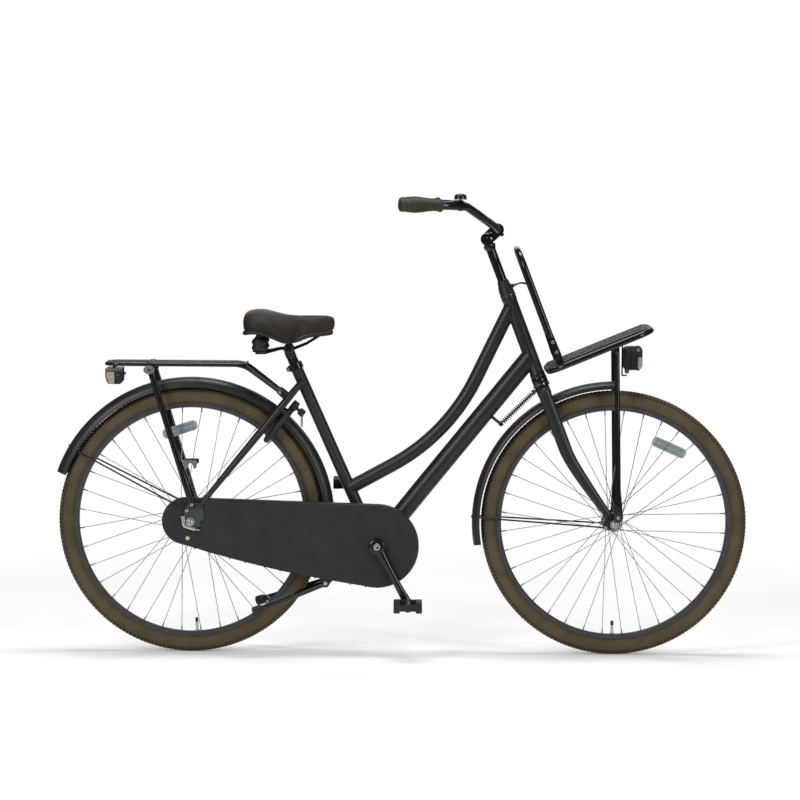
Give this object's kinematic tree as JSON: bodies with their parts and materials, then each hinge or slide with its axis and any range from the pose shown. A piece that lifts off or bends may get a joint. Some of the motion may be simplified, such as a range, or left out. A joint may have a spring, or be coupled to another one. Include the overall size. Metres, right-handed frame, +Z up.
{
  "type": "city bicycle",
  "caption": "Upright city bicycle with swept top tube, full chain case, front and rear carriers, ring lock and double-leg stand; steering, wheels, cranks, saddle and stem move.",
  "frame": {"origin": "on the ground midway between the two wheels' contact points, in the bicycle's middle plane", "axes": "+X forward, +Y to the rider's left, +Z up"},
  "size_m": [1.8512, 0.642, 1.2331],
  "materials": {
    "frame_paint": "satin dark grey paint",
    "black_metal": "satin black paint",
    "bare_steel": "bright plated steel",
    "light_plate": "light grey plating",
    "alloy": "polished alloy",
    "rim_grey": "dark grey satin",
    "spoke_steel": "stainless",
    "tyre_rubber": "olive brown rubber",
    "grip_rubber": "olive brown rubber",
    "saddle_skin": "grey brown cover",
    "dark_plastic": "matte dark grey",
    "lamp_clear": "clear ribbed plastic",
    "lamp_red": "red plastic",
    "reflector_clear": "clear reflector plastic"
  },
  "bodies": {
    "frame_body": {"frame": "frame_paint", "seat_clamp": "black_metal", "headset_lower_cup": "black_metal", "bottom_bracket_cartridge": "bare_steel", "rear_mudguard": "frame_paint", "rear_mudguard_stay": "black_metal", "chaincase": "dark_plastic", "chain": "bare_steel", "rear_carrier": "black_metal", "tail_light_housing": "dark_plastic", "tail_light_lens": "lamp_red", "ring_lock": "dark_plastic", "lock_key": "dark_plastic", "kickstand_bracket": "black_metal", "rear_axle": "bare_steel", "brake_arm": "bare_steel", "damper_spring": "bare_steel", "damper_frame_bracket": "bare_steel"},
    "fork_body": {"fork": "frame_paint", "headset_cap": "dark_plastic", "front_mudguard": "frame_paint", "front_mudguard_stay": "black_metal", "front_carrier_platform": "black_metal", "front_carrier_backrest": "black_metal", "front_carrier_legs": "black_metal", "headlight_housing": "dark_plastic", "headlight_lens": "lamp_clear", "front_axle": "bare_steel", "damper_fork_bracket": "bare_steel"},
    "stem_body": {"stem_quill": "black_metal"},
    "handlebar_body": {"stem_head": "black_metal", "handlebar": "black_metal", "grip_right": "grip_rubber", "grip_left": "grip_rubber", "bell_dome": "black_metal"},
    "bell_lever_body": {"bell_lever": "black_metal"},
    "front_wheel_body": {"front_tyre": "tyre_rubber", "front_rim": "rim_grey", "front_hub": "spoke_steel", "front_wheel_reflector": "reflector_clear"},
    "rear_wheel_body": {"rear_tyre": "tyre_rubber", "rear_rim": "rim_grey", "rear_hub": "spoke_steel", "rear_wheel_reflector": "reflector_clear"},
    "sprocket_body": {"rear_sprocket": "bare_steel"},
    "crank_body": {"crank_spindle": "bare_steel", "chainring": "bare_steel", "crank_right": "black_metal", "crank_left": "black_metal"},
    "pedal_right_body": {"pedal_right": "dark_plastic"},
    "pedal_left_body": {"pedal_left": "dark_plastic"},
    "saddle_body": {"seat_post": "black_metal", "saddle_clamp": "black_metal", "saddle_rails": "black_metal", "saddle_base": "dark_plastic", "saddle_cushion": "saddle_skin", "saddle_spring_right": "dark_plastic", "saddle_spring_left": "dark_plastic"},
    "kickstand_body": {"kickstand": "black_metal"},
    "shackle_body": {"lock_shackle": "bare_steel"}
  },
  "joints": [
    {"name": "steering", "type": "hinge", "parent": "frame_body", "child": "fork_body", "pos_m": [0.51805, 0, 0.3374], "axis": [-0.3584, 0, 0.9336], "range_deg": [-45, 45], "stiffness_Nm_per_rad": 8, "deforming": ["damper_spring"]},
    {"name": "stem_height", "type": "slide", "parent": "fork_body", "child": "stem_body", "axis": [-0.3584, 0, 0.9336], "range_m": [-0.03, 0.03]},
    {"name": "stem_angle", "type": "hinge", "parent": "stem_body", "child": "handlebar_body", "pos_m": [0.21988, 0, 1.11414], "axis": [0, 1, 0], "range_deg": [-25, 30]},
    {"name": "bell_lever_turn", "type": "hinge", "parent": "handlebar_body", "child": "bell_lever_body", "pos_m": [0.14386, -0.226, 1.21395], "axis": [0, 0, 1], "range_deg": [0, 30], "stiffness_Nm_per_rad": 0.05},
    {"name": "front_wheel_spin", "type": "hinge", "parent": "fork_body", "child": "front_wheel_body", "pos_m": [0.5665, 0, 0.356], "axis": [0, 1, 0], "continuous": true},
    {"name": "rear_wheel_spin", "type": "hinge", "parent": "frame_body", "child": "rear_wheel_body", "pos_m": [-0.5665, 0, 0.356], "axis": [0, 1, 0], "continuous": true},
    {"name": "crank_spin", "type": "hinge", "parent": "frame_body", "child": "crank_body", "pos_m": [-0.068, 0, 0.294], "axis": [0, 1, 0], "continuous": true},
    {"name": "sprocket_spin", "type": "hinge", "parent": "frame_body", "child": "sprocket_body", "pos_m": [-0.5665, -0.05, 0.356], "axis": [0, 1, 0], "continuous": true},
    {"name": "pedal_right_spin", "type": "hinge", "parent": "crank_body", "child": "pedal_right_body", "pos_m": [0.01539, -0.143, 0.14357], "axis": [0, 1, 0], "continuous": true},
    {"name": "pedal_left_spin", "type": "hinge", "parent": "crank_body", "child": "pedal_left_body", "pos_m": [-0.15139, 0.143, 0.44443], "axis": [0, 1, 0], "continuous": true},
    {"name": "saddle_height", "type": "slide", "parent": "frame_body", "child": "saddle_body", "axis": [-0.4109, 0, 0.9117], "range_m": [-0.01, 0.08]},
    {"name": "kickstand_fold", "type": "hinge", "parent": "frame_body", "child": "kickstand_body", "pos_m": [-0.206, 0, 0.19], "axis": [0, -1, 0], "range_deg": [0, 82]},
    {"name": "shackle_turn", "type": "hinge", "parent": "frame_body", "child": "shackle_body", "pos_m": [-0.3346, 0, 0.61212], "axis": [-0.7767, 0, 0.6299], "range_deg": [0, 75], "stiffness_Nm_per_rad": 0.3}
  ],
  "couplings": [
    {"joint": "sprocket_spin", "follows": "crank_spin", "ratio": 2.1111}
  ]
}
